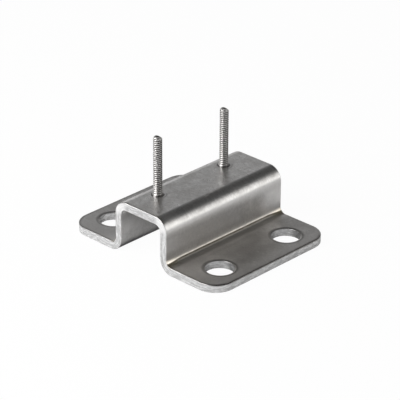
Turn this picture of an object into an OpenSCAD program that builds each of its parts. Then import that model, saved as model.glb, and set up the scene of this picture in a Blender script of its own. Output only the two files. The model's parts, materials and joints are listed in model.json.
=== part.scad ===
// Hat-shaped fixing bracket: one folded stainless plate with two welded studs.
// Millimetres. X runs across the bracket, Y along its channel and Z up.
// The origin is at the centre of the mounting face, under the flanges.

/* [Folded plate] */
// Length of the plate along its channel
plate_length = 62.6; // [48:0.2:150]
// Overall width across both flanges
base_width = 77.2; // [68:0.2:160]
// Width over the outside of the two channel walls
channel_width = 26.8; // [20:0.2:34]
// Height of the web's top face above the mounting face
channel_height = 21.8; // [14:0.2:60]
// Thickness of the sheet
sheet_t = 3.2; // [1.5:0.1:4.5]
// Inside radius of the four folds
fold_r = 2.5; // [1:0.1:4]
// Radius of the flange corners, seen from above
corner_r = 8.5; // [3:0.5:14]
// Radius where the sheet's upper side rolls over at its cut edges and hole rims
roll_r = 0.35; // [0.3:0.05:0.8]
// Radius on the sharper lower edges and hole rims
burr_r = 0.15; // [0.05:0.05:0.3]

/* [Flange holes] */
// Diameter of the four flange holes
hole_d = 11.2; // [6:0.1:12]
// Distance from a flange's outer edge to the centre of its holes
hole_edge_dist = 10.6; // [8:0.1:14]
// Distance from the plate's end to the centre of the nearest hole
hole_end_dist = 13.2; // [9:0.1:24]

/* [Studs] */
// Outside diameter of the studs' thread
stud_d = 3.5; // [2.5:0.1:6]
// Height of a stud's tip above the web
stud_height = 23.7; // [8:0.1:60]
// Bevel at the tip of a stud
stud_bevel = 0.4; // [0.2:0.1:0.8]
// Depth of the cup that thread rolling leaves in the tip
tip_cup = 0.3; // [0.1:0.1:0.8]
// Thickness of the welded foot of a stud
foot_t = 0.5; // [0.3:0.1:1.5]
// How far the foot stands out past the thread
foot_lip = 0.3; // [0.2:0.1:1.2]
// Distance from the outside of the left channel wall to the line of the studs
stud_wall_dist = 9; // [8:0.1:14]
// Distance from the plate's end to the centre of the nearest stud
stud_end_dist = 13.5; // [6:0.1:24]

/* [Hidden] */
$fn = 96;
// How far a cutter runs past the face that it opens
cut_over = 1;
fold_outer_r = fold_r + sheet_t;
wall_x = channel_width / 2;
flange_start_x = wall_x + fold_r;
corner_x = base_width / 2 - corner_r;
corner_y = plate_length / 2 - corner_r;
hole_x = base_width / 2 - hole_edge_dist;
hole_y = plate_length / 2 - hole_end_dist;
stud_x = stud_wall_dist - wall_x;
stud_y = plate_length / 2 - stud_end_dist;
plate_colour = [0.66, 0.66, 0.64];
stud_colour = [0.72, 0.72, 0.70];

// Cut across the sheet: thickness along X, full plate length along Y, with one radius on the
// corners at x = 0 and another on those at x = sheet_t
module strip_section(near_r, far_r) {
    end_y = plate_length / 2;
    translate([near_r, -end_y]) square([sheet_t - near_r - far_r, plate_length]);
    translate([0, near_r - end_y]) square([sheet_t - far_r, plate_length - 2 * near_r]);
    translate([near_r, far_r - end_y]) square([sheet_t - near_r, plate_length - 2 * far_r]);
    for (side = [-1, 1]) {
        translate([near_r, side * (end_y - near_r)]) circle(r = near_r);
        translate([sheet_t - far_r, side * (end_y - far_r)]) circle(r = far_r);
    }
}

// Cut across the flange's outer edge: corner_r wide along X, the sheet's thickness along Y
module rim_section() {
    square([corner_r - roll_r, sheet_t]);
    square([corner_r - burr_r, sheet_t - roll_r]);
    translate([0, burr_r]) square([corner_r, sheet_t - burr_r - roll_r]);
    translate([corner_r - roll_r, sheet_t - roll_r]) circle(r = roll_r);
    translate([corner_r - burr_r, burr_r]) circle(r = burr_r);
}

// Upright stretch of sheet that rises from z = 0, its lower side at x = 0 and its upper side facing +X
module upright_run(height) {
    linear_extrude(height) strip_section(burr_r, roll_r);
}

// Level stretch of sheet that runs along +X with its upper side at z = 0
module level_run(width) {
    rotate([0, 90, 0]) linear_extrude(width) strip_section(roll_r, burr_r);
}

// Quarter fold about the Y axis, from facing +X round to facing +Z, with the radii of its cut edges
// on the inner and the outer side of the fold
module quarter_fold(inner_edge_r, outer_edge_r) {
    rotate([90, 0, 0])
        rotate_extrude(angle = 90)
            translate([fold_r, 0]) strip_section(inner_edge_r, outer_edge_r);
}

// Outer part of the right flange: its straight edge and both rounded corners
module flange_rim() {
    translate([corner_x, corner_y, 0])
        rotate([90, 0, 0]) linear_extrude(2 * corner_y) rim_section();
    for (side = [0, 1])
        mirror([0, side, 0])
            translate([corner_x, corner_y, 0])
                rotate_extrude(angle = 90) rim_section();
}

// Right half of the folded plate, from the web's fold out to the flange's edge
module folded_side() {
    translate([wall_x - fold_outer_r, 0, channel_height - fold_outer_r])
        quarter_fold(burr_r, roll_r);
    translate([wall_x - sheet_t, 0, sheet_t + fold_r])
        upright_run(channel_height - fold_outer_r - sheet_t - fold_r);
    translate([flange_start_x, 0, sheet_t + fold_r])
        rotate([0, 180, 0]) quarter_fold(roll_r, burr_r);
    translate([flange_start_x, 0, sheet_t]) level_run(corner_x - flange_start_x);
    flange_rim();
}

// Half section of one rim of a flange hole: it flares out over the rounded edge
module rim_flare(flare_r) {
    difference() {
        translate([hole_d / 2, -cut_over]) square([flare_r, flare_r + cut_over]);
        translate([hole_d / 2 + flare_r, flare_r]) circle(r = flare_r);
    }
}

// Cutter for one flange hole with both of its rims rounded
module hole_cutter() {
    rotate_extrude() {
        translate([0, -cut_over]) square([hole_d / 2, sheet_t + 2 * cut_over]);
        rim_flare(burr_r);
        translate([0, sheet_t]) mirror([0, 1]) rim_flare(roll_r);
    }
}

// The whole plate, folded from one sheet
module folded_plate() {
    color(plate_colour)
    difference() {
        union() {
            translate([fold_outer_r - wall_x, 0, channel_height])
                level_run(channel_width - 2 * fold_outer_r);
            for (side = [0, 1])
                mirror([side, 0, 0]) folded_side();
        }
        for (x = [-hole_x, hole_x], y = [-hole_y, hole_y])
            translate([x, y, 0]) hole_cutter();
    }
}

// Threaded stud on its welded foot, drawn to the thread's outside diameter, with a cupped tip
module weld_stud() {
    rotate_extrude()
        polygon([
            [0, 0],
            [stud_d / 2 + foot_lip, 0],
            [stud_d / 2 + foot_lip, foot_t],
            [stud_d / 2, foot_t],
            [stud_d / 2, stud_height - stud_bevel],
            [stud_d / 2 - stud_bevel, stud_height],
            [0, stud_height - tip_cup]
        ]);
}

module front_stud() {
    color(stud_colour) translate([stud_x, -stud_y, channel_height]) weld_stud();
}

module rear_stud() {
    color(stud_colour) translate([stud_x, stud_y, channel_height]) weld_stud();
}

folded_plate();
front_stud();
rear_stud();
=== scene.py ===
"""Looks of a folded stainless fixing bracket: its hat-shaped plate, two threaded weld studs and the studio.

Metres. X runs across the bracket, Y along its channel and Z up, from the middle of the mounting face.
"""

import json
import math
from types import SimpleNamespace
import bpy
import numpy as np
from mathutils import Matrix, Vector


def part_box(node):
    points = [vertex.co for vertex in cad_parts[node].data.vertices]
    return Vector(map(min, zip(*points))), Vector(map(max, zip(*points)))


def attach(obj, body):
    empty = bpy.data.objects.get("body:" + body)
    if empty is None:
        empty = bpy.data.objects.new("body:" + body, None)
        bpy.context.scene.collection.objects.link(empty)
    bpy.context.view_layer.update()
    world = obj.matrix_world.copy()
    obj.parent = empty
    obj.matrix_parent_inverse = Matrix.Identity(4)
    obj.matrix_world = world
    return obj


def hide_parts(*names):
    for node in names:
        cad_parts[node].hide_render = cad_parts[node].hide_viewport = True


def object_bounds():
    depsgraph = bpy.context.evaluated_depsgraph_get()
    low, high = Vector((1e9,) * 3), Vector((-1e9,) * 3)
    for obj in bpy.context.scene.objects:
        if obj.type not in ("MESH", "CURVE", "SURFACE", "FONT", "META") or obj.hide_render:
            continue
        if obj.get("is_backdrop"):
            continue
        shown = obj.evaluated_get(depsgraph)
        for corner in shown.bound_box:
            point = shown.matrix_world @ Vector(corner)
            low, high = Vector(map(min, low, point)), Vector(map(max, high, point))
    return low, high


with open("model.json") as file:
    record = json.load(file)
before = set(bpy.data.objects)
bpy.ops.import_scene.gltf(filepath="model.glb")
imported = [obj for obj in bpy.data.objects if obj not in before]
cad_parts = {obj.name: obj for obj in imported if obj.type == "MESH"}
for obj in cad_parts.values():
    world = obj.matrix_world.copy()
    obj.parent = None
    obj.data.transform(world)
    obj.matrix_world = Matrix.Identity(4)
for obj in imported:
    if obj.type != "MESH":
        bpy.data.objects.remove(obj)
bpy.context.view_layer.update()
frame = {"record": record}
mounts = {mount["name"]: mount for mount in frame["record"]["mounts"]}
MM = 0.001
QUARTER = math.pi / 2

# Sizes of the plate that its box and its bolt holes give
plate_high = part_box("folded_plate")[1]
BASE_HALF = plate_high.x
LENGTH_HALF = plate_high.y
WEB_TOP = plate_high.z
HOLE_X = mounts["flange_bolts"]["dims"]["spacing_x_mm"] / 2 * MM
HOLE_Y = mounts["flange_bolts"]["dims"]["spacing_y_mm"] / 2 * MM
HOLE_R = mounts["flange_bolts"]["dims"]["hole_r_mm"] * MM

# Sizes of the folded sheet
SHEET_T = 3.2 * MM
FOLD_INNER_R = 2.5 * MM
FOLD_MID_R = FOLD_INNER_R + SHEET_T / 2
WALL_X = 13.4 * MM
CORNER_R = 8.5 * MM
# How far the upper side rolls down and from how far in, at the outline and at the hole rims, and the
# radius of the sharper lower edges
ROLL_DROP = 0.35 * MM
ROLL_REACH = 0.40 * MM
HOLE_ROLL_DROP = 0.25 * MM
HOLE_ROLL_REACH = 0.85 * MM
BURR_R = 0.15 * MM

# Developed distances from the web's centre line at which the sheet starts to turn or runs straight again
WEB_HALF = WALL_X - SHEET_T - FOLD_INNER_R
FOLD_ARC = FOLD_MID_R * QUARTER
WALL_RUN = WEB_TOP - 2 * SHEET_T - 2 * FOLD_INNER_R
FIRST_FOLD_END = WEB_HALF + FOLD_ARC
SECOND_FOLD_START = FIRST_FOLD_END + WALL_RUN
FLANGE_START = SECOND_FOLD_START + FOLD_ARC
HOLE_RUN = FLANGE_START + HOLE_X - WALL_X - FOLD_INNER_R
EDGE_RUN = FLANGE_START + BASE_HALF - WALL_X - FOLD_INNER_R
CORNER_RUN = EDGE_RUN - CORNER_R
CORNER_Y = LENGTH_HALF - CORNER_R
# How much farther out a place on a flange lies across the flat sheet than across the folded bracket
FLANGE_SHIFT = FLANGE_START - WALL_X - FOLD_INNER_R

# Sizes of the studs
STUD_R = mounts["stud_pair"]["dims"]["stud_r_mm"] * MM
FOOT_R = STUD_R + 0.3 * MM
FOOT_T = 0.5 * MM
FOOT_ROUND = 0.12 * MM
UNDERCUT = 0.25 * MM
SHANK_GAP = 0.1 * MM
THREAD_PITCH = 0.794 * MM
THREAD_DEPTH = 0.42 * MM
# Lengths over which the thread fades in above the foot and out towards the tip
THREAD_START = 0.4 * MM
THREAD_END = 0.7 * MM
# The tip's bevel, the depth of its cup and how far the cup lies off the stud's axis
TIP_BEVEL = 0.4 * MM
TIP_CUP = 0.3 * MM
CUP_SHIFT = 0.35 * MM
# How much wider and lower the bevel is on a stud's worn side, as shares of the bevel
WORN_BEVEL = 0.8
WORN_DROP = 0.45
# How dull a stud's bevel and cup are and how dark they are painted as painted shade, where 1 is a thread
# root
BEVEL_SHADE_AND_DULLNESS = 0.15
CUP_SHADE_AND_DULLNESS = 0.35
# Bearings round a stud of its worn side, which also carries painted shade, and of the side of its foot
# that the key lamp lights, which is left out of the foot's painted shade
WORN_AND_SHADED_SIDE = math.radians(60)
LIT_SIDE = math.radians(-115)
# Bearings in degrees from a hole's centre of the parts of its rim and of its wall that carry grime and
#  painted shade
HOLE_LEFT = 235
HOLE_BACK = 75

# Numbers of grid points on the plate: along its outline and lengthwise, across each part of the sheet,
# out from a hole, and on each turn and on the flat of a cut edge
EDGE_POINTS = 28
CORNER_POINTS = 25
LENGTH_POINTS = 40
MIDDLE_POINTS = 26
FLANGE_POINTS = 20
FOLD_POINTS = 29
WALL_POINTS = 12
WEB_POINTS = 9
HOLE_POINTS = 12
ROLL_POINTS = 9
CUT_POINTS = 8
# Points of the plate that lie within this distance are one
MERGE_GAP = 0.0002 * MM
# Numbers of grid points on a stud: round it, and up one turn of its thread
STUD_COLUMNS = 64
THREAD_ROWS = 22


def fold_sheet(flat):
    """Folds points of the flat sheet into the hat section.
    A point is its run from the web's centre line, its place along the channel and its height over the
    sheet's middle. The run is spent in turn on the level web, a quarter turn down, the upright wall, a
    quarter turn out and the level flange. Returns the folded points, the sheet's direction and its
    normal."""
    side = np.where(flat[..., 0] < 0, -1.0, 1.0)
    run = np.abs(flat[..., 0])
    web = np.minimum(run, WEB_HALF)
    turn_down = np.clip((run - WEB_HALF) / FOLD_MID_R, 0, QUARTER)
    drop = np.clip(run - FIRST_FOLD_END, 0, WALL_RUN)
    turn_out = np.clip((run - SECOND_FOLD_START) / FOLD_MID_R, 0, QUARTER)
    flange = np.maximum(run - FLANGE_START, 0)
    across = web + FOLD_MID_R * (np.sin(turn_down) + 1 - np.cos(turn_out)) + flange
    level = WEB_TOP - SHEET_T / 2 - FOLD_MID_R * (1 - np.cos(turn_down) + np.sin(turn_out)) - drop
    slope = turn_down - turn_out
    nothing = np.zeros_like(run)
    direction = np.stack([np.cos(slope), nothing, -side * np.sin(slope)], -1)
    normal = np.stack([side * np.sin(slope), nothing, np.cos(slope)], -1)
    middle = np.stack([side * across, flat[..., 1], level], -1)
    return middle + flat[..., 2:] * normal, direction, normal


def edge_profile(reach, drop):
    """Cut edge of the sheet, from its upper side over the roll, down the cut and round to its lower side.
    Both turns are quarters of an ellipse: the sine of the turn along its reach and the cosine along its
    drop. Returns how far each point falls short of the outline, its height and the tilt of its normal."""
    turn = np.linspace(0, QUARTER, ROLL_POINTS)
    back = turn[::-1]
    middle = np.linspace(SHEET_T / 2 - drop, BURR_R - SHEET_T / 2, CUT_POINTS)[1:-1]
    upper_short = reach * (1 - np.sin(turn))
    upper_height = SHEET_T / 2 - drop * (1 - np.cos(turn))
    lower_short = BURR_R * (1 - np.sin(back))
    lower_height = BURR_R * (1 - np.cos(back)) - SHEET_T / 2
    short = np.concatenate([upper_short, np.zeros(len(middle)), lower_short])
    height = np.concatenate([upper_height, middle, lower_height])
    lean = np.arctan2(drop * np.sin(turn), reach * np.cos(turn))
    tilt = np.concatenate([lean, np.full(len(middle), QUARTER), math.pi - back])
    return short, height, tilt


def eased(start, end, count):
    """Values from start to end, closer together near both ends: half a cosine wave."""
    return start + (end - start) * (1 - np.cos(np.linspace(0, math.pi, count))) / 2


def joined(*stretches):
    """One array from stretches that share their end points."""
    return np.concatenate([stretches[0]] + [stretch[1:] for stretch in stretches[1:]])


def quad_grid(rows, columns, flipped):
    """Corner indices of the quads of a grid, seen from the side that its normal points to."""
    index = np.arange(rows * columns).reshape(rows, columns)
    quads = np.stack([index[:-1, :-1], index[1:, :-1], index[1:, 1:], index[:-1, 1:]], -1).reshape(-1, 4)
    return quads[:, ::-1] if flipped else quads


def plate_outline():
    """A quarter of the flat sheet's outline, from the middle of a long edge round to the middle of an end.
    The outline is a rounded rectangle: an inner rectangle's border pushed out by the corner radius along
    its normal. Returns the border's points, their normals, how many of them lie on the flange, and the
    runs at which the grid crosses the folds, the wall and the web."""
    edge_ys = eased(0, CORNER_Y, EDGE_POINTS)
    corner_turns = np.linspace(0, QUARTER, CORNER_POINTS)[1:-1]
    strip_runs = joined(
        np.linspace(FLANGE_START, SECOND_FOLD_START, FOLD_POINTS),
        np.linspace(SECOND_FOLD_START, FIRST_FOLD_END, WALL_POINTS),
        np.linspace(FIRST_FOLD_END, WEB_HALF, FOLD_POINTS),
        np.linspace(WEB_HALF, 0, WEB_POINTS),
    )
    end_runs = joined(np.linspace(CORNER_RUN, FLANGE_START, FLANGE_POINTS), strip_runs)
    anchors = np.concatenate([
        np.stack([np.full_like(edge_ys, CORNER_RUN), edge_ys], -1),
        np.tile([CORNER_RUN, CORNER_Y], (len(corner_turns), 1)),
        np.stack([end_runs, np.full_like(end_runs, CORNER_Y)], -1),
    ])
    turns = np.concatenate([np.zeros_like(edge_ys), corner_turns, np.full_like(end_runs, QUARTER)])
    outward = np.stack([np.cos(turns), np.sin(turns)], -1)
    return anchors, outward, len(edge_ys) + len(corner_turns) + FLANGE_POINTS, strip_runs


def plate_surface():
    """The plate as grids of the flat sheet: places with heights, slopes of the surface, and quads.
    Each quarter of the two flanges is a grid of rays from the rim of its hole to its border, the web,
    folds and walls are one rectangular grid, and the edge profile runs round outline and holes. On each
    side the grids stop where that side's edge begins to turn."""
    short, height, tilt = edge_profile(ROLL_REACH, ROLL_DROP)
    rim_short, rim_height, rim_tilt = edge_profile(HOLE_ROLL_REACH, HOLE_ROLL_DROP)
    anchors, outward, flange_count, strip_runs = plate_outline()
    hole_centre = np.array([HOLE_RUN, HOLE_Y])
    share = eased(0, 1, HOLE_POINTS)[None, :, None]
    flats, slopes, quads = [], [], []

    def lengthwise(inset):
        """Places along the channel, from the start of the end's turn to the middle."""
        return eased(LENGTH_HALF - inset, 0, LENGTH_POINTS)

    def flange_ring(inset):
        """Way round a quarter of a flange, drawn in by the inset from the outline."""
        border = anchors[:flange_count] + (CORNER_R - inset) * outward[:flange_count]
        middle_runs = eased(FLANGE_START, border[0, 0], MIDDLE_POINTS)
        ys = lengthwise(inset)
        return joined(
            np.stack([middle_runs, np.zeros_like(middle_runs)], -1),
            border,
            np.stack([np.full_like(ys, FLANGE_START), ys], -1),
        )

    rays = flange_ring(0) - hole_centre
    rays /= np.linalg.norm(rays, axis=1, keepdims=True)

    def add(points, heights, leans, tilts, flipped):
        """One grid: places in the sheet, heights, outward leans and the tilt of the normal towards them."""
        shape = points.shape[:2]
        heights = np.broadcast_to(heights, shape)[..., None]
        tilts = np.broadcast_to(tilts, shape)[..., None]
        leans = np.broadcast_to(leans, points.shape)
        base = sum(len(part) for part in flats)
        flats.append(np.concatenate([points, heights], -1).reshape(-1, 3))
        slopes.append(np.concatenate([leans * np.sin(tilts), np.cos(tilts)], -1).reshape(-1, 3))
        quads.append(quad_grid(*shape, flipped) + base)

    edge = anchors[:, None] + (CORNER_R - short)[None, :, None] * outward[:, None]
    wall = hole_centre + (HOLE_R + rim_short)[None, :, None] * rays[:, None]
    corners = ((1, 1), (1, -1), (-1, 1), (-1, -1))
    for upper, level, inset, rim_inset, facing in (
        (True, SHEET_T / 2, ROLL_REACH, HOLE_ROLL_REACH, 0),
        (False, -SHEET_T / 2, BURR_R, BURR_R, math.pi),
    ):
        ys = lengthwise(inset)
        strip_grid = np.stack(np.meshgrid(joined(-strip_runs, strip_runs[::-1]),
                                          joined(-ys, ys[::-1]), indexing="ij"), -1)
        add(strip_grid, level, np.zeros(2), facing, not upper)
        rim = hole_centre + (HOLE_R + rim_inset) * rays
        flange_grid = rim[:, None] * (1 - share) + flange_ring(inset)[:, None] * share
        for corner in corners:
            turned = corner[0] * corner[1] < 0
            add(flange_grid * corner, level, np.zeros(2), facing, turned != upper)
    for corner in corners:
        turned = corner[0] * corner[1] < 0
        add(edge * corner, height, outward[:, None] * corner, tilt, not turned)
        add(wall * corner, rim_height, -rays[:, None] * corner, rim_tilt, turned)
    return np.concatenate(flats), np.concatenate(slopes), np.concatenate(quads)


def merged(points, quads):
    """Keeps one of each set of points that coincide. Returns the kept points' indices and the new quads."""
    keys = np.round(points / MERGE_GAP).astype(np.int64)
    _, kept, new_index = np.unique(keys, axis=0, return_index=True, return_inverse=True)
    return kept, new_index.reshape(-1)[quads]


def surface_object(name, points, faces, normals, layers):
    """A mesh object in place, with its exact normals and its named layers of numbers on each vertex."""
    mesh = bpy.data.meshes.new(name)
    mesh.from_pydata(points.tolist(), [], faces)
    for layer, values in layers.items():
        kind = "FLOAT_VECTOR" if values.ndim == 2 else "FLOAT"
        attribute = mesh.attributes.new(layer, kind, "POINT")
        key = "vector" if values.ndim == 2 else "value"
        attribute.data.foreach_set(key, values.astype(np.float32).ravel())
    mesh.shade_smooth()
    if normals is not None:
        mesh.normals_split_custom_set_from_vertices(normals.tolist())
    obj = bpy.data.objects.new(name, mesh)
    bpy.context.scene.collection.objects.link(obj)
    return obj


def smooth_step(value, low, high):
    """A rise from 0 at low to 1 at high with soft ends: three squares less two cubes of the share."""
    share = np.clip((value - low) / (high - low), 0, 1)
    return share * share * (3 - 2 * share)


def build_plate():
    """The folded plate as one closed surface, with layers that say where its steel is cut, creased or
    stretched. Flat place is the place in the flat sheet, and outline gap is the distance in from its
    outline. Cut grows from 0 on the sheet's faces to 1 on its sheared edge. Crease is 1 in the middle of a
    fold's inner side and stretch in the middle of its outer side. Fold share grows over the lower fold.
    Level is 1 on the web and flanges and 0 on the walls. From hole leads away from the nearest hole."""
    flat, slope, quads = plate_surface()
    points, direction, normal = fold_sheet(flat)
    normals = slope[:, :1] * direction + slope[:, 2:] * normal
    normals[:, 1] += slope[:, 1]
    kept, quads = merged(points, quads)
    run = np.abs(flat[:, 0])
    first = np.clip((run - WEB_HALF) / FOLD_ARC, 0, 1)
    second = np.clip((run - SECOND_FOLD_START) / FOLD_ARC, 0, 1)
    upper = flat[:, 2] > 0
    beyond = np.abs(flat[:, :2]) - (CORNER_RUN, CORNER_Y)
    past_corner = np.linalg.norm(np.maximum(beyond, 0), axis=1) + np.minimum(beyond.max(axis=1), 0)
    hole_centre = np.where(flat < 0, -1.0, 1.0) * (HOLE_RUN, HOLE_Y, 0)
    layers = {
        "flat_place": flat,
        "outline_gap": CORNER_R - past_corner,
        "from_hole": (flat - hole_centre) * (1, 1, 0),
        "cut": 1 - np.abs(slope[:, 2]),
        "crease": np.sin(math.pi * np.where(upper, second, first)),
        "stretch": np.sin(math.pi * np.where(upper, first, second)),
        "fold_share": second,
        "level": np.abs(normal[:, 2]),
    }
    layers = {name: values[kept] for name, values in layers.items()}
    return surface_object("plate_skin", points[kept], quads.tolist(), normals[kept], layers)


plate = build_plate()
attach(plate, "root")
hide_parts("folded_plate")


def above_crest(height, turn):
    """How far a place lies above the nearest crest of the thread, in pitches, from -0.5 to 0.5: the height
    over the pitch, less the share of a turn, less the nearest whole number."""
    phase = height / THREAD_PITCH - turn / (2 * math.pi)
    return phase - np.round(phase)


def thread_groove(from_crest):
    """Depth of the thread's groove, as a share of its full depth: a broad rolled crest, a straight flank
    and a rounded root."""
    crest_end, root_start, rounding = 1 / 7, 3 / 7, 0.08
    flank = np.clip((np.abs(from_crest) - crest_end) / (root_start - crest_end), 0, 1)
    return flank - rounding * np.sin(2 * math.pi * flank) / (2 * math.pi)


def foot_profile():
    """Side of a stud's foot, as radius and height: the undercut weld, the side, its rounded top and the
    start of the shank."""
    arc = np.linspace(0, QUARTER, 5)
    weld_r = FOOT_R - UNDERCUT
    side = [[0.5 * STUD_R, 0], [weld_r, 0], [weld_r, 0.2 * FOOT_T], [FOOT_R, 0.5 * FOOT_T]]
    rounded_r = FOOT_R - FOOT_ROUND * (1 - np.cos(arc))
    rounded_height = FOOT_T - FOOT_ROUND * (1 - np.sin(arc))
    shank_foot = [[STUD_R + SHANK_GAP, FOOT_T + 0.1 * SHANK_GAP]]
    return np.concatenate([side, np.stack([rounded_r, rounded_height], -1), shank_foot])


def stud_surface(foot, height):
    """A turned stud with a thread rolled into it, as rings of points from its weld to its tip.
    Going up, the radius follows the foot, the shank, the bevel and the cupped tip. The shank's radius is
    the outside radius less the groove's depth, which fades in over the foot and out at the bevel. Round
    the stud, the bevel grows with the cosine of the bearing from the worn side, and the cup's centre lies
    a little off the axis."""
    column = np.linspace(0, 2 * math.pi, STUD_COLUMNS, endpoint=False)
    around = np.ones_like(column)
    worn = smooth_step(np.cos(column - WORN_AND_SHADED_SIDE), -0.2, 1.0)
    bevel = TIP_BEVEL * (1 + WORN_BEVEL * worn)
    shank_start, shank_end = FOOT_T + SHANK_GAP, height - bevel
    rim_level = height - WORN_DROP * TIP_BEVEL * worn
    foot_side = foot_profile()
    rows = int(round((height - FOOT_T) / THREAD_PITCH * THREAD_ROWS))
    rise = np.linspace(0, 1, rows)[:, None]
    over = np.linspace(0.25, 1, 4)[:, None]
    inward = np.linspace(0.9, 0.2, 5)[:, None]
    level = np.concatenate([
        foot_side[:, 1:] * around,
        shank_start + (shank_end - shank_start) * rise,
        shank_end + (rim_level - shank_end) * over,
        height - (height - rim_level) * inward - TIP_CUP * (1 - inward) ** 0.7,
    ])
    from_crest = above_crest(level, column)
    starting = np.clip((level - FOOT_T) / THREAD_START, 0, 1)
    ending = np.clip((height - level) / THREAD_END, 0, 1) ** 0.5
    groove = starting * ending * thread_groove(from_crest)
    groove[: len(foot_side)] = 0
    groove[len(foot_side) + rows :] = 0
    radius = np.concatenate([
        foot_side[:, :1] * around,
        STUD_R * np.ones_like(rise) * around,
        STUD_R - bevel * over,
        (STUD_R - bevel) * inward,
    ]) - THREAD_DEPTH * groove
    shift = np.zeros((len(level), 1))
    shift[-len(inward) :] = CUP_SHIFT * (1 - inward) ** 2
    points = np.stack([radius * np.cos(column) - shift, radius * np.sin(column), level], -1)
    points += np.array(foot)
    # Painted shade: this layer darkens the thread's roots, the bevel and the cup, and makes them duller.
    dull_and_shaded = groove.copy()
    dull_and_shaded[-len(inward) - len(over) :] = BEVEL_SHADE_AND_DULLNESS
    dull_and_shaded[-len(inward) :] = CUP_SHADE_AND_DULLNESS
    return points, stud_marks(column, level, from_crest, groove) | {"groove": dull_and_shaded}


def stud_marks(column, level, from_crest, groove):
    """Marks on a stud: soot with painted shade on its foot, apart from the side that the key lamp lights,
    painted shade down its worn side, and painted shade on the lower flank of each turn."""
    # Soot with painted shade on the foot, left out on the side that the key lamp lights.
    clean = smooth_step(np.cos(column - LIT_SIDE), 0.55, 0.95)
    soot_and_shade = (1 - smooth_step(level, 0.8 * FOOT_T, FOOT_T + 0.35 * MM)) * (1 - 0.85 * clean)
    # Painted shade down the stud's worn side.
    shaded_side = smooth_step(np.cos(column - WORN_AND_SHADED_SIDE), 0.30, 0.65) * np.ones_like(level)
    # Painted shade on the lower flank of each turn, where little light falls.
    shaded_lower_flank = smooth_step(-from_crest, 0.03, 0.15) * np.minimum(4 * groove, 1) * (0.8 + 0.2 * shaded_side)
    return {"soot_and_shade": soot_and_shade, "shaded_side": shaded_side, "shaded_lower_flank": shaded_lower_flank}


def build_stud(name, foot, height):
    """One stud as a closed piece: rings joined by quads, and a flat face at each end."""
    points, layers = stud_surface(foot, height)
    rows, columns = points.shape[:2]
    index = np.arange(rows * columns).reshape(rows, columns)
    after = np.roll(index, -1, axis=1)
    quads = np.stack([index[:-1], after[:-1], after[1:], index[1:]], -1).reshape(-1, 4)
    faces = quads.tolist() + [index[0, ::-1].tolist(), index[-1].tolist()]
    layers = {label: values.ravel() for label, values in layers.items()}
    return surface_object(name, points.reshape(-1, 3), faces, None, layers)


front_low, front_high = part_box("front_stud")
rear_low, rear_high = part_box("rear_stud")
studs, feet = [], []
for name, node, low, high in (
    ("front_threaded_stud", "front_stud", front_low, front_high),
    ("rear_threaded_stud", "rear_stud", rear_low, rear_high),
):
    foot = ((low.x + high.x) / 2, (low.y + high.y) / 2, low.z)
    stud = build_stud(name, foot, high.z - low.z)
    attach(stud, "root")
    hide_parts(node)
    studs.append(stud)
    feet.append(foot)


def put(tree, kind, inputs=None, **settings):
    """Adds a node with its settings, and gives each named input a number or another node's output."""
    new = tree.nodes.new(kind)
    for key, value in settings.items():
        setattr(new, key, value)
    for key, value in (inputs or {}).items():
        if isinstance(value, bpy.types.NodeSocket):
            tree.links.new(value, new.inputs[key])
        else:
            new.inputs[key].default_value = value
    return new


def calc(tree, operation, first, second=0.0, third=0.0):
    """One sum of one to three numbers or outputs."""
    return put(tree, "ShaderNodeMath", {0: first, 1: second, 2: third}, operation=operation).outputs[0]


def ramp_to(tree, value, low, high, out_low=0.0, out_high=1.0):
    """Spreads a value from low and high to the two new ends, smoothly and without passing them."""
    inputs = {"Value": value, "From Min": low, "From Max": high, "To Min": out_low, "To Max": out_high}
    return put(tree, "ShaderNodeMapRange", inputs, interpolation_type="SMOOTHSTEP").outputs["Result"]


def blend_colours(tree, share, first, second):
    """Mixes two colours by a share. A Mix node's colours are its inputs 6 and 7 and its output 2."""
    return put(tree, "ShaderNodeMix", {"Factor": share, 6: first, 7: second}, data_type="RGBA").outputs[2]


def new_group(name, inputs, outputs):
    """An empty shader node group with its named inputs and outputs. Returns the group and its two ends."""
    group = bpy.data.node_groups.new(name, "ShaderNodeTree")
    for label, kind, value in inputs:
        socket = group.interface.new_socket(label, in_out="INPUT", socket_type=kind)
        if value is not None:
            socket.default_value = value
    for label, kind in outputs:
        group.interface.new_socket(label, in_out="OUTPUT", socket_type=kind)
    return group, group.nodes.new("NodeGroupInput"), group.nodes.new("NodeGroupOutput")


def grain_group():
    """Fine rolled grain: noise drawn out along one direction, in a broad and a fine layer."""
    group, start, end = new_group(
        "rolled_grain",
        [("Place", "NodeSocketVector", None), ("Along", "NodeSocketFloat", 60.0),
         ("Across", "NodeSocketFloat", 6000.0)],
        [("Height", "NodeSocketFloat"), ("Shade", "NodeSocketFloat")],
    )
    parts = put(group, "ShaderNodeSeparateXYZ", {"Vector": start.outputs["Place"]})
    layers = []
    for stretch, detail in ((1.0, 3.0), (0.22, 2.0)):
        along = calc(group, "MULTIPLY", start.outputs["Along"], stretch)
        across = calc(group, "MULTIPLY", start.outputs["Across"], stretch)
        x = calc(group, "MULTIPLY", parts.outputs["X"], along)
        y = calc(group, "MULTIPLY", parts.outputs["Y"], across)
        z = calc(group, "MULTIPLY", parts.outputs["Z"], across)
        place = put(group, "ShaderNodeCombineXYZ", {"X": x, "Y": y, "Z": z}).outputs[0]
        noise = put(group, "ShaderNodeTexNoise",
                    {"Vector": place, "Scale": 1.0, "Detail": detail, "Roughness": 0.6})
        layers.append(noise.outputs["Fac"])
    height = calc(group, "MULTIPLY_ADD", layers[1], 0.5, calc(group, "MULTIPLY", layers[0], 0.5))
    group.links.new(height, end.inputs["Height"])
    group.links.new(ramp_to(group, layers[1], 0.25, 0.75), end.inputs["Shade"])
    return group


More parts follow.
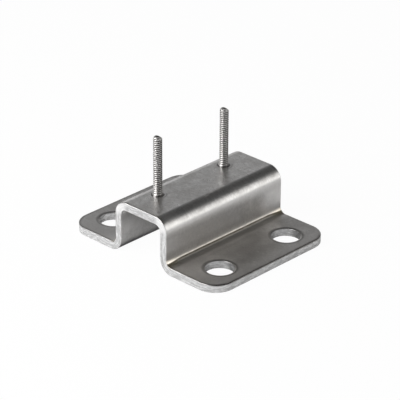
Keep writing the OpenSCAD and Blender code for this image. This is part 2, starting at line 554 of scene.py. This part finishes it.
def cloud_group():
    """Soft uneven patches of handling and pickling, from a warped noise."""
    group, start, end = new_group(
        "soft_patches",
        [("Place", "NodeSocketVector", None), ("Size", "NodeSocketFloat", 0.008)],
        [("Patch", "NodeSocketFloat")],
    )
    scale = calc(group, "DIVIDE", 1.0, start.outputs["Size"])
    noise = put(group, "ShaderNodeTexNoise",
                {"Vector": start.outputs["Place"], "Scale": scale, "Detail": 4.0, "Roughness": 0.55,
                 "Distortion": 0.6})
    group.links.new(ramp_to(group, noise.outputs["Fac"], 0.3, 0.7), end.inputs["Patch"])
    return group


def shear_group():
    """Sheared edge: uneven lines drawn out along the edge, and small dull blotches."""
    group, start, end = new_group(
        "sheared_edge",
        [("Place", "NodeSocketVector", None), ("Pitch", "NodeSocketFloat", 0.0004)],
        [("Line", "NodeSocketFloat"), ("Blotch", "NodeSocketFloat")],
    )
    scale = calc(group, "DIVIDE", 1.0, start.outputs["Pitch"])
    drawn = put(group, "ShaderNodeVectorMath", {0: start.outputs["Place"], 1: (0.12, 0.12, 1.0)},
                operation="MULTIPLY").outputs[0]
    lines = put(group, "ShaderNodeTexNoise", {"Vector": drawn, "Scale": scale, "Detail": 2.0})
    broad = calc(group, "MULTIPLY", scale, 0.3)
    blotches = put(group, "ShaderNodeTexNoise",
                   {"Vector": start.outputs["Place"], "Scale": broad, "Detail": 3.0, "Distortion": 0.4})
    group.links.new(lines.outputs["Fac"], end.inputs["Line"])
    group.links.new(ramp_to(group, blotches.outputs["Fac"], 0.38, 0.62), end.inputs["Blotch"])
    return group


def scratch_group():
    """Sparse hairline scratches: thin contour lines of a stretched noise, kept only in patches."""
    group, start, end = new_group(
        "hairline_scratches",
        [("Place", "NodeSocketVector", None), ("Slant", "NodeSocketFloat", 0.4),
         ("Width", "NodeSocketFloat", 0.012)],
        [("Scratch", "NodeSocketFloat")],
    )
    turned = put(group, "ShaderNodeVectorRotate",
                 {"Vector": start.outputs["Place"], "Angle": start.outputs["Slant"]},
                 rotation_type="Z_AXIS")
    drawn = put(group, "ShaderNodeVectorMath", {0: turned.outputs[0], 1: (60.0, 700.0, 60.0)},
                operation="MULTIPLY").outputs[0]
    noise = put(group, "ShaderNodeTexNoise", {"Vector": drawn, "Scale": 1.0, "Detail": 1.0})
    near = calc(group, "ABSOLUTE", calc(group, "SUBTRACT", noise.outputs["Fac"], 0.5))
    line = calc(group, "SUBTRACT", 1.0, ramp_to(group, near, 0.0, start.outputs["Width"]))
    kept = put(group, "ShaderNodeTexNoise",
               {"Vector": start.outputs["Place"], "Scale": 260.0, "Detail": 2.0})
    scratch = calc(group, "MULTIPLY", line, ramp_to(group, kept.outputs["Fac"], 0.52, 0.66))
    group.links.new(scratch, end.inputs["Scratch"])
    return group


def weld_mark_group():
    """Soot of a stud's weld with painted shade: a dark ring close round the foot, densest on two opposite
    sides where the shade of the gap under the foot is painted, and a faint outer arc on one side. Both
    follow from the distance and the direction from the stud's centre."""
    group, start, end = new_group(
        "weld_mark",
        [("Place", "NodeSocketVector", None), ("Centre", "NodeSocketVector", None),
         ("Ring", "NodeSocketFloat", 0.0022), ("Arc", "NodeSocketFloat", 0.0033)],
        [("Soot", "NodeSocketFloat"), ("Halo", "NodeSocketFloat")],
    )
    away = put(group, "ShaderNodeVectorMath", {0: start.outputs["Place"], 1: start.outputs["Centre"]},
               operation="SUBTRACT").outputs[0]
    level = put(group, "ShaderNodeVectorMath", {0: away, 1: (1.0, 1.0, 0.0)},
                operation="MULTIPLY").outputs[0]
    reach = put(group, "ShaderNodeVectorMath", {0: level}, operation="LENGTH").outputs["Value"]
    facing = put(group, "ShaderNodeVectorMath", {0: level}, operation="NORMALIZE").outputs[0]
    noise = put(group, "ShaderNodeTexNoise",
                {"Vector": start.outputs["Place"], "Scale": 1500.0, "Detail": 2.0})
    wobble = calc(group, "MULTIPLY_ADD", noise.outputs["Fac"], 0.6 * MM, -0.3 * MM)
    uneven = calc(group, "ADD", reach, wobble)

    def ring(radius, width):
        """A soft, uneven ring of one radius: 1 on it, 0 a width away from it."""
        off = calc(group, "ABSOLUTE", calc(group, "SUBTRACT", uneven, radius))
        return calc(group, "SUBTRACT", 1.0, ramp_to(group, off, width * 0.3, width))

    def along(direction):
        """How far a place lies in a direction from the stud, from -1 to 1."""
        turned = put(group, "ShaderNodeVectorMath", {0: facing, 1: direction}, operation="DOT_PRODUCT")
        return turned.outputs["Value"]

    # Painted shade: the ring is densest on the two sides where the gap under the foot lies.
    dense_way, arc_way = (0.72, 0.69, 0.0), (0.93, 0.37, 0.0)
    gap_shade_sides = ramp_to(group, calc(group, "ABSOLUTE", along(dense_way)), 0.6, 0.95, 0.25, 1.0)
    soot_and_shade = calc(group, "MULTIPLY", ring(start.outputs["Ring"], 0.6 * MM), gap_shade_sides)
    outer_side = ramp_to(group, along(arc_way), 0.6, 0.9)
    halo = calc(group, "MULTIPLY", ring(start.outputs["Arc"], 0.5 * MM), outer_side)
    group.links.new(soot_and_shade, end.inputs["Soot"])
    group.links.new(halo, end.inputs["Halo"])
    return group


GRAIN, CLOUDS, SHEAR = grain_group(), cloud_group(), shear_group()
SCRATCHES, WELD_MARK = scratch_group(), weld_mark_group()


def place_group(tree, group, inputs):
    """Places a shared effect in a material with its own values."""
    return put(tree, "ShaderNodeGroup", inputs, node_tree=group).outputs


def grey(level, warmth=0.0):
    """A steel grey, as linear colour, with more red and less blue as it gets warmer."""
    return (level * (1 + warmth), level, level * (1 - warmth), 1)


# Colours that marks and painted light on the steel share
PAINTED_SHEEN = grey(0.80, 0.015)
# Dark colour of grease and soot, also used for painted shade along the rims.
GREASE_AND_SHADE = grey(0.10, 0.05)
YELLOW_TINT = (0.50, 0.42, 0.24, 1)
PAINTED_CREASE_HIGHLIGHT = (0.86, 0.81, 0.73, 1)
CREASE_DARK_BROWN = (0.052, 0.044, 0.030, 1)


def new_material(name):
    """A node material with its principled shader wired to the output."""
    material = bpy.data.materials.new(name)
    material.use_nodes = True
    return material, material.node_tree, material.node_tree.nodes["Principled BSDF"]


def read_layer(tree, name, kind="Fac"):
    """A layer of numbers that the piece carries on its vertices."""
    return put(tree, "ShaderNodeAttribute", attribute_name=name).outputs[kind]


def both(tree, *masks):
    """How far several masks apply together: their product."""
    result = masks[0]
    for mask in masks[1:]:
        result = calc(tree, "MULTIPLY", result, mask)
    return result


def band(tree, value, low_end, low_full, high_full, high_end):
    """1 from low full to high full, fading to 0 at the low and the high end."""
    return both(tree, ramp_to(tree, value, low_end, low_full), ramp_to(tree, value, high_end, high_full))


def side_of(tree, direction, bearing, low, high):
    """How far a direction points to a bearing in degrees: 0 where their cosine is low, 1 where it is
    high."""
    aim = (math.cos(math.radians(bearing)), math.sin(math.radians(bearing)), 0.0)
    cosine = put(tree, "ShaderNodeVectorMath", {0: direction, 1: aim}, operation="DOT_PRODUCT")
    return ramp_to(tree, cosine.outputs["Value"], low, high)


def lay_on(tree, ground, *coats):
    """Lays coats over a ground colour in turn. Each coat is its mask, its strength and its colour."""
    for mask, strength, colour in coats:
        ground = blend_colours(tree, both(tree, mask, strength), ground, colour)
    return ground


def add_up(tree, start, *terms):
    """A start value plus, for each term, its mask times its weight."""
    for mask, weight in terms:
        start = calc(tree, "MULTIPLY_ADD", mask, weight, start)
    return start


def read_sheet(tree):
    """What a place on the sheet is, for the functions that paint it.
    Across, along and height are its place in the flat sheet, and run is its distance from the web's centre
    line. Share goes from 0 at the wall's foot to 1 at the flange. Hole gap is the distance out from the
    nearest hole's rim, and hole left and hole back are 1 at the two bearings round it that carry grime and
    painted shade. Shaded right side is 1 on the right wall and flange, which are painted darker as painted
    shade, and flank is 1 along the two long edges. The rest are as they are called."""
    flat = read_layer(tree, "flat_place", "Vector")
    parts = put(tree, "ShaderNodeSeparateXYZ", {"Vector": flat}).outputs
    run = calc(tree, "ABSOLUTE", parts["X"])
    from_hole = read_layer(tree, "from_hole", "Vector")
    hole_reach = put(tree, "ShaderNodeVectorMath", {0: from_hole}, operation="LENGTH").outputs["Value"]
    hole_way = put(tree, "ShaderNodeVectorMath", {0: from_hole}, operation="NORMALIZE").outputs[0]
    return SimpleNamespace(
        flat=flat, across=parts["X"], along=parts["Y"], height=parts["Z"], run=run,
        share=read_layer(tree, "fold_share"),
        outline_gap=read_layer(tree, "outline_gap"),
        hole_gap=calc(tree, "SUBTRACT", hole_reach, HOLE_R),
        hole_left=side_of(tree, hole_way, HOLE_LEFT, 0.4, 0.9),
        hole_back=side_of(tree, hole_way, HOLE_BACK, 0.75, 0.98),
        turned_over=read_layer(tree, "cut"),
        cut=ramp_to(tree, read_layer(tree, "cut"), 0.55, 0.98),
        crease=read_layer(tree, "crease"),
        stretch=read_layer(tree, "stretch"),
        upper=calc(tree, "GREATER_THAN", parts["Z"], 0.0),
        lying=ramp_to(tree, read_layer(tree, "level"), 0.5, 0.95),
        on_web=ramp_to(tree, run, WEB_HALF + 1.5 * MM, WEB_HALF - 0.5 * MM),
        shaded_right_side=ramp_to(tree, parts["X"], FIRST_FOLD_END - 2 * MM, FIRST_FOLD_END + 5 * MM),
        flank=ramp_to(tree, run, CORNER_RUN + 2 * MM, EDGE_RUN - 1.5 * MM),
        grain=place_group(tree, GRAIN, {"Place": flat, "Along": 150.0, "Across": 5200.0}),
        patch=place_group(tree, CLOUDS, {"Place": flat, "Size": 0.011})["Patch"],
        small_patch=place_group(tree, CLOUDS, {"Place": flat, "Size": 0.0026})["Patch"],
        speck=place_group(tree, CLOUDS, {"Place": flat, "Size": 0.0009})["Patch"],
        scratch=place_group(tree, SCRATCHES, {"Place": flat, "Slant": 0.5, "Width": 0.012})["Scratch"],
        shear=place_group(tree, SHEAR, {"Place": flat, "Pitch": 0.0003}),
    )


def mill_finish(tree, sheet):
    """The sheet's faces as rolled: palest on the web, and darker and warmer on the right wall and flange,
    where the darkness is painted shade, with patches of three sizes and the rolling grain over them."""
    rearward = ramp_to(tree, sheet.along, -2 * MM, LENGTH_HALF)
    clean = blend_colours(tree, sheet.on_web, grey(0.62, 0.004), grey(0.73, 0.004))
    # Painted shade: a darker copy of the sheet's colour on the right wall and flange.
    shaded_right_tone = blend_colours(tree, rearward, grey(0.49, 0.03), grey(0.51, 0.02))
    stained = blend_colours(tree, sheet.shaded_right_side, grey(0.50, 0.02), grey(0.33, 0.055))
    mottled = add_up(tree, 0.45, (sheet.shaded_right_side, 0.15))
    return lay_on(
        tree, clean,
        (sheet.shaded_right_side, 1.0, shaded_right_tone),
        (sheet.patch, 0.60, stained),
        (sheet.small_patch, mottled, grey(0.38, 0.04)),
        (sheet.speck, mottled, grey(0.30, 0.02)),
        (sheet.grain["Shade"], 0.22, grey(0.34, 0.02)),
    )


def pale_marks_and_painted_light(tree, sheet, face):
    """Pale marks and painted light: painted reflections on the walls' front and rear, painted highlights on
    the web's folds at the front and low on the folds, pale marks on the lower folds' feet, the flanges'
    front and the right flange's border, and painted shade on the inside of the walls."""
    # Painted reflection: the rear of the walls painted paler.
    wall_rear_reflection = both(
        tree,
        band(tree, sheet.run, FIRST_FOLD_END - 1 * MM, FIRST_FOLD_END + 3 * MM,
             SECOND_FOLD_START - 3 * MM, SECOND_FOLD_START + 2 * MM),
        ramp_to(tree, sheet.along, 17 * MM, 25 * MM),
        add_up(tree, 0.5, (sheet.patch, 0.5)),
    )
    # Painted reflection: the walls painted paler towards their front.
    wall_front_reflection = both(
        tree,
        band(tree, sheet.run, FIRST_FOLD_END + 0.5 * MM, FIRST_FOLD_END + 3 * MM,
             SECOND_FOLD_START - 4 * MM, SECOND_FOLD_START - 1 * MM),
        ramp_to(tree, sheet.along, 12 * MM, 4 * MM),
        ramp_to(tree, sheet.along, -22 * MM, -29 * MM, 0.18, 0.40),
    )
    # Painted highlight: the web's folds painted paler at the front.
    fold_front_highlight = both(
        tree,
        band(tree, sheet.run, WEB_HALF, WEB_HALF + 0.3 * FOLD_ARC,
             FIRST_FOLD_END - 0.3 * FOLD_ARC, FIRST_FOLD_END),
        ramp_to(tree, sheet.along, -18 * MM, -27 * MM),
    )
    # Painted highlight: the lower part of the web's folds and the top of the walls painted paler.
    fold_foot_highlight = band(tree, sheet.run, WEB_HALF + 0.62 * FOLD_ARC, WEB_HALF + 0.82 * FOLD_ARC,
                     FIRST_FOLD_END - 0.5 * MM, FIRST_FOLD_END + 2.5 * MM)
    heel = both(tree, ramp_to(tree, sheet.share, 0.50, 0.75),
                ramp_to(tree, sheet.run, FLANGE_START + 3 * MM, FLANGE_START))
    heel_front = both(tree, ramp_to(tree, sheet.share, 0.6, 1.0),
                      ramp_to(tree, sheet.run, FLANGE_START + 7 * MM, FLANGE_START + 1 * MM),
                      ramp_to(tree, sheet.along, -24 * MM, -30 * MM))
    flange_front = both(tree, ramp_to(tree, sheet.run, FLANGE_START, FLANGE_START + 2 * MM),
                        ramp_to(tree, sheet.along, -9 * MM, -27 * MM))
    # Painted shade: the inside of the walls painted darker.
    shaded_inside = both(tree, calc(tree, "SUBTRACT", 1.0, sheet.upper), calc(tree, "SUBTRACT", 1.0, sheet.lying))
    border = ramp_to(tree, sheet.across, FLANGE_SHIFT + 32 * MM, FLANGE_SHIFT + 35.5 * MM)
    return lay_on(
        tree, face,
        (wall_rear_reflection, 0.85, PAINTED_SHEEN),
        (fold_front_highlight, 0.35, PAINTED_SHEEN),
        (fold_foot_highlight, 0.60, PAINTED_SHEEN),
        (heel, 0.60, grey(0.66, 0.03)),
        (flange_front, 0.35, grey(0.60, 0.02)),
        (wall_front_reflection, 1.0, PAINTED_SHEEN),
        (heel_front, 0.35, grey(0.75, 0.02)),
        (shaded_inside, 0.30, grey(0.40, 0.01)),
        (border, 0.16, grey(0.75, 0.01)),
    )


def greasy_smudges(tree, sheet, face):
    """Smudges on the flange between its holes and along the rear of its crease, and the wall a little
    darker towards its foot.
    """
    between_holes = both(
        tree,
        band(tree, sheet.across, FLANGE_SHIFT + 19 * MM, FLANGE_SHIFT + 24 * MM,
             FLANGE_SHIFT + 29 * MM, FLANGE_SHIFT + 34 * MM),
        band(tree, sheet.along, -14 * MM, -7 * MM, 14 * MM, 22 * MM),
    )
    beside_crease = both(
        tree,
        band(tree, sheet.across, FLANGE_SHIFT + 14 * MM, FLANGE_SHIFT + 17 * MM,
             FLANGE_SHIFT + 19 * MM, FLANGE_SHIFT + 24 * MM),
        band(tree, sheet.along, 1 * MM, 12 * MM, 24 * MM, 28 * MM),
    )
    wall_foot = both(
        tree,
        ramp_to(tree, sheet.across, SECOND_FOLD_START - 4 * MM, SECOND_FOLD_START - 1 * MM),
        ramp_to(tree, sheet.share, 0.05, 0.0),
        ramp_to(tree, sheet.along, -6 * MM, 16 * MM, 0.10, 0.20),
    )
    return lay_on(tree, face, (between_holes, 0.38, GREASE_AND_SHADE), (beside_crease, 0.20, GREASE_AND_SHADE),
                  (wall_foot, 1.0, GREASE_AND_SHADE))


def dark_crease_band(tree, sheet, near_end):
    """Mask of the dark brown band in the crease, which lies under the bright line and reaches a little
    further down towards the plate's ends."""
    line_end = add_up(tree, 0.25, (near_end, 0.12))
    dark_band_start = calc(tree, "ADD", line_end, 0.06)
    dark_band = both(tree, sheet.upper, ramp_to(tree, sheet.share, line_end, dark_band_start),
                ramp_to(tree, sheet.share, add_up(tree, 0.55, (near_end, 0.25)), 0.36),
                add_up(tree, 0.90, (sheet.small_patch, 0.10)))
    return dark_band, line_end, dark_band_start


def crease_marks(tree, sheet, face):
    """In the crease, a painted highlight line with a dark brown band below it. Towards the plate's ends the
    line widens, with a yellow fringe. Under the folds the sheet is painted dark down to the flange, as
    painted shade. Returns the face and the dark band's mask."""
    from_middle = calc(tree, "ABSOLUTE", sheet.along)
    near_end = ramp_to(tree, from_middle, LENGTH_HALF - 8 * MM, LENGTH_HALF - 1 * MM)
    near_front = both(tree, near_end, ramp_to(tree, sheet.along, 1 * MM, -1 * MM))
    dark_band, line_end, dark_band_start = dark_crease_band(tree, sheet, near_end)
    tinted = both(tree, sheet.upper, sheet.crease)
    # Painted highlight: a bright line in the crease.
    line = both(tree, sheet.upper,
                ramp_to(tree, sheet.share, add_up(tree, 0.11, (near_end, -0.08)), 0.18),
                ramp_to(tree, sheet.share, dark_band_start, line_end),
                calc(tree, "MAXIMUM", add_up(tree, 0.25, (sheet.small_patch, 0.40)), near_front))
    # Painted shade: the underside of the lower folds, down to the flange, painted dark.
    under = both(tree, calc(tree, "LESS_THAN", sheet.height, 0.0), ramp_to(tree, sheet.share, 0.05, 0.45))
    face = lay_on(
        tree, face,
        (tinted, add_up(tree, 0.10, (near_end, 0.40)), YELLOW_TINT),
        (line, 1.0, PAINTED_CREASE_HIGHLIGHT),
        (dark_band, 1.0, CREASE_DARK_BROWN),
        (under, 0.85, grey(0.05, 0.03)),
    )
    return face, dark_band


def weld_soot_and_shade(tree, feet, face):
    """Soot round the welds of the studs, with painted shade at two sides of each foot."""
    place = put(tree, "ShaderNodeTexCoord").outputs["Object"]
    for foot in feet:
        mark = place_group(tree, WELD_MARK, {"Place": place, "Centre": foot})
        # Soot with painted shade round each weld.
        face = lay_on(tree, face, (mark["Halo"], 0.45, GREASE_AND_SHADE), (mark["Soot"], 0.90, grey(0.04, 0.08)))
    return face


def rim_grime_and_shade(tree, sheet, face):
    """Grime and painted shade along the upper rims: a dark band beside the outline, and a dark ring round
    each hole that is widest on the hole's left."""
    # Painted shade with grime: a dark band beside the outline, stronger on the long flanks.
    shade_beside_outline = both(
        tree, sheet.upper, sheet.lying,
        ramp_to(tree, sheet.outline_gap, 1.4 * MM, 0.1 * MM),
        ramp_to(tree, sheet.along, LENGTH_HALF - 2 * MM, LENGTH_HALF - 5 * MM),
        add_up(tree, 0.45, (sheet.flank, 0.25)),
    )
    # Painted shade with grime: a dark ring on each hole's rolled rim.
    ring = both(
        tree, sheet.upper,
        ramp_to(tree, sheet.hole_gap, 1.6 * MM, 0.8 * MM),
        calc(tree, "MAXIMUM", ramp_to(tree, sheet.hole_gap, 0.30 * MM, 0.60 * MM), sheet.hole_left),
    )
    return lay_on(tree, face, (shade_beside_outline, add_up(tree, 0.8, (sheet.small_patch, 0.4)), GREASE_AND_SHADE),
                  (ring, 0.55, grey(0.07, 0.04)))


def sheared_edge(tree, sheet):
    """The sheared edge: lined all over, burnished near its upper side, torn and duller below, brighter
    round the web's folds, and darker in parts of the holes' walls with grime and painted shade."""
    lined = blend_colours(tree, ramp_to(tree, sheet.shear["Line"], 0.38, 0.62), grey(0.51), grey(0.78))
    burnished = ramp_to(tree, sheet.height, -0.3 * MM, 0.5 * MM)
    fold = band(tree, sheet.run, WEB_HALF - 1 * MM, WEB_HALF + 1.5 * MM,
                FIRST_FOLD_END - 1.5 * MM, FIRST_FOLD_END + 1 * MM)
    hole_wall = ramp_to(tree, sheet.hole_gap, 2 * MM, 1 * MM)
    # Painted shade with grime in parts of the holes' walls.
    hole_wall_shade_and_grime = both(tree, hole_wall,
                 calc(tree, "MAXIMUM", sheet.hole_back, calc(tree, "MULTIPLY", sheet.hole_left, 0.6)))
    return lay_on(
        tree, lined,
        (burnished, 0.15, grey(0.80)),
        (sheet.shear["Blotch"], add_up(tree, 0.35, (burnished, -0.2)), grey(0.42, 0.01)),
        (fold, 0.60, grey(0.92, 0.006)),
        (hole_wall_shade_and_grime, add_up(tree, 0.5, (sheet.small_patch, 0.3)), grey(0.12, 0.03)),
    )


def rolled_rim_shade(tree, sheet):
    """Mask of the dark line painted where the sheet's upper side rolls over into its cut, a painted
    reflection of the dark space above, strongest on the plate's long flanks and absent at the holes."""
    return both(
        tree, ramp_to(tree, sheet.turned_over, 0.01, 0.12), sheet.upper, sheet.lying,
        ramp_to(tree, sheet.height, SHEET_T / 2 - 0.65 * MM, SHEET_T / 2 - 0.30 * MM),
        ramp_to(tree, sheet.hole_gap, 1 * MM, 2 * MM),
        add_up(tree, 0.30, (sheet.flank, 0.55)),
    )


def sheet_relief(tree, sheet):
    """Height of the fine grain, of the orange peel on the stretched folds, of the sheet's waviness and of
    the lines in its cut."""
    peel = put(tree, "ShaderNodeTexNoise", {"Vector": sheet.flat, "Scale": 1100.0, "Detail": 2.0})
    wave = put(tree, "ShaderNodeTexNoise", {"Vector": sheet.flat, "Scale": 130.0, "Detail": 1.0})
    return add_up(
        tree, calc(tree, "MULTIPLY", sheet.grain["Height"], 0.35),
        (peel.outputs["Fac"], add_up(tree, 0.15, (sheet.stretch, 1.2))),
        (wave.outputs["Fac"], add_up(tree, 3.5, (sheet.on_web, -2.3))),
        (sheet.scratch, -0.3),
        (both(tree, sheet.shear["Line"], sheet.cut), 2.0),
    )


def sheet_steel(feet):
    """Mill-finished stainless sheet: grain that follows the folds, soft patches, hairline scratches,
    browned creases, a sheared edge and the soot of the two welds, with painted light and shade: a darker
    right wall and flange, paler reflections and highlights on the walls and folds, a bright line in the
    crease, dark lines along the rolled rim and round the holes, and shade at the welds and under the folds."""
    material, tree, shader = new_material("folded_sheet_steel")
    sheet = read_sheet(tree)
    face = mill_finish(tree, sheet)
    face = pale_marks_and_painted_light(tree, sheet, face)
    face = greasy_smudges(tree, sheet, face)
    face, dark_band = crease_marks(tree, sheet, face)
    face = weld_soot_and_shade(tree, feet, face)
    face = lay_on(tree, face, (sheet.scratch, 0.25, grey(0.68)))
    face = rim_grime_and_shade(tree, sheet, face)
    # Painted shade: a dark line along the rolled rim.
    rolled = rolled_rim_shade(tree, sheet)
    steel = lay_on(tree, face, (sheet.cut, 1.0, sheared_edge(tree, sheet)), (rolled, 1.0, GREASE_AND_SHADE))
    rough = add_up(tree, 0.32, (sheet.small_patch, 0.05), (sheet.patch, 0.04), (dark_band, 0.10),
                   (sheet.scratch, -0.08), (sheet.on_web, -0.05), (rolled, -0.10), (sheet.cut, 0.12))
    relief = sheet_relief(tree, sheet)
    bump = put(tree, "ShaderNodeBump", {"Strength": 0.30, "Distance": 0.03 * MM, "Height": relief})
    tree.links.new(steel, shader.inputs["Base Color"])
    tree.links.new(rough, shader.inputs["Roughness"])
    tree.links.new(bump.outputs["Normal"], shader.inputs["Normal"])
    shader.inputs["Metallic"].default_value = 1.0
    return material


def stud_steel():
    """Bright rolled stainless thread, with painted shade in its roots, on its bevel and cup, on the lower
    flank of each turn and down one side, and soot with painted shade at its foot.
    """
    material, tree, shader = new_material("rolled_thread_steel")
    place = put(tree, "ShaderNodeTexCoord").outputs["Object"]
    groove = read_layer(tree, "groove")
    grain = place_group(tree, GRAIN, {"Place": place, "Along": 9000.0, "Across": 4000.0})
    patch = place_group(tree, CLOUDS, {"Place": place, "Size": 0.0016})["Patch"]
    # Painted shade: dark thread roots, bevel and cup.
    thread = blend_colours(tree, ramp_to(tree, groove, 0.05, 0.60), grey(0.80, 0.015), grey(0.23, 0.06))
    colour = lay_on(
        tree, thread,
        (patch, 0.20, grey(0.34, 0.03)),
        # Painted shade down one side, and soot with painted shade at the foot and on the lower flanks.
        (read_layer(tree, "shaded_side"), 0.68, grey(0.12, 0.05)),
        (read_layer(tree, "soot_and_shade"), 0.75, grey(0.07, 0.08)),
        (read_layer(tree, "shaded_lower_flank"), 0.85, grey(0.03, 0.10)),
    )
    rough = add_up(tree, 0.24, (grain["Shade"], 0.08), (groove, 0.15))
    bump = put(tree, "ShaderNodeBump", {"Strength": 0.2, "Distance": 0.01 * MM, "Height": grain["Height"]})
    tree.links.new(colour, shader.inputs["Base Color"])
    tree.links.new(rough, shader.inputs["Roughness"])
    tree.links.new(bump.outputs["Normal"], shader.inputs["Normal"])
    shader.inputs["Metallic"].default_value = 1.0
    return material


plate.data.materials.append(sheet_steel(feet))
thread_steel = stud_steel()
for stud in studs:
    stud.data.materials.append(thread_steel)


def add_floor():
    """A wide pale floor level with the mounting face, near white to the camera but with its shadow. In
    the steel it shows dimmer."""
    half = 3.0
    camera_share, mirrored_share = 0.97, 0.15
    corners = [(-half, -half, 0), (half, -half, 0), (half, half, 0), (-half, half, 0)]
    mesh = bpy.data.meshes.new("floor")
    mesh.from_pydata(corners, [], [(0, 1, 2, 3)])
    floor = bpy.data.objects.new("floor", mesh)
    bpy.context.scene.collection.objects.link(floor)
    material = bpy.data.materials.new("white_floor")
    material.use_nodes = True
    tree = material.node_tree
    tree.nodes.clear()
    path = put(tree, "ShaderNodeLightPath").outputs
    mirrored = calc(tree, "MAXIMUM", path["Is Glossy Ray"], path["Is Transmission Ray"])
    share = add_up(tree, 0.0, (path["Is Camera Ray"], camera_share), (mirrored, mirrored_share))
    paper = put(tree, "ShaderNodeBsdfDiffuse", {"Color": grey(0.8)})
    glow = put(tree, "ShaderNodeEmission", {"Color": grey(1.0), "Strength": 1.0})
    mix = put(tree, "ShaderNodeMixShader", {0: share, 1: paper.outputs[0], 2: glow.outputs[0]})
    put(tree, "ShaderNodeOutputMaterial", {"Surface": mix.outputs[0]})
    mesh.materials.append(material)
    floor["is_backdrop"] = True


def light_world():
    """White to the camera. To the object it is a pale sweep that dims from about 15 to 40 degrees up."""
    world = bpy.data.worlds.new("studio")
    world.use_nodes = True
    tree = world.node_tree
    tree.nodes.clear()
    place = put(tree, "ShaderNodeTexCoord").outputs["Generated"]
    rise = put(tree, "ShaderNodeSeparateXYZ", {"Vector": place}).outputs["Z"]
    low_glow, high_glow = 0.92, 0.05
    sweep = ramp_to(tree, rise, 0.25, 0.62, low_glow, high_glow)
    around = put(tree, "ShaderNodeBackground", {"Color": grey(1.0), "Strength": sweep})
    white = put(tree, "ShaderNodeBackground", {"Color": grey(1.0), "Strength": 1.0})
    path = put(tree, "ShaderNodeLightPath").outputs
    mix = put(tree, "ShaderNodeMixShader",
              {0: path["Is Camera Ray"], 1: around.outputs[0], 2: white.outputs[0]})
    put(tree, "ShaderNodeOutputWorld", {"Surface": mix.outputs[0]})
    bpy.context.scene.world = world


def softbox(name, direction, distance, width, height, radiance, warmth=0.0):
    """A flat rectangular lamp that looks at the middle of the mounting face from a direction. Its power is
    its radiance times pi times its area."""
    lamp = bpy.data.lights.new(name, "AREA")
    lamp.shape = "RECTANGLE"
    lamp.color = (1.0, 1.0 - warmth / 2, 1.0 - 2 * warmth)
    lamp.size, lamp.size_y = width, height
    lamp.energy = radiance * math.pi * width * height
    obj = bpy.data.objects.new(name, lamp)
    away = Vector(direction).normalized()
    obj.location = away * distance
    obj.rotation_euler = away.to_track_quat("Z", "Y").to_euler()
    bpy.context.scene.collection.objects.link(obj)


add_floor()
light_world()
softbox("back_right_softbox", direction=(0.73, 0.66, 0.36), distance=0.85, width=0.55, height=0.44,
        radiance=1.15, warmth=0.025)
softbox("key_softbox", direction=(-0.30, -0.80, 0.52), distance=0.50, width=0.50, height=0.35, radiance=6.7)


def place_camera():
    """Camera of the photograph: its bearing, rise and roll, its distance and its offset from the origin."""
    bearing, rise, roll = math.radians(43.886), math.radians(26.596), math.radians(0.307)
    distance, shift_right, shift_up = 0.825998, 0.000269, 0.01315
    back = Vector((math.sin(bearing) * math.cos(rise), -math.cos(bearing) * math.cos(rise), math.sin(rise)))
    level_right = Vector((math.cos(bearing), math.sin(bearing), 0))
    level_up = back.cross(level_right)
    right = math.cos(roll) * level_right + math.sin(roll) * level_up
    up = math.cos(roll) * level_up - math.sin(roll) * level_right
    data = bpy.data.cameras.new("camera")
    data.sensor_width = 36.0
    data.lens = 195.2
    data.clip_start, data.clip_end = 0.05, 20.0
    camera = bpy.data.objects.new("camera", data)
    place = distance * back + shift_right * right + shift_up * up
    camera.matrix_world = Matrix((
        (right.x, up.x, back.x, place.x),
        (right.y, up.y, back.y, place.y),
        (right.z, up.z, back.z, place.z),
        (0, 0, 0, 1),
    ))
    bpy.context.scene.collection.objects.link(camera)
    bpy.context.scene.camera = camera


place_camera()
bpy.context.scene.view_settings.view_transform = "Standard"

low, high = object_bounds()
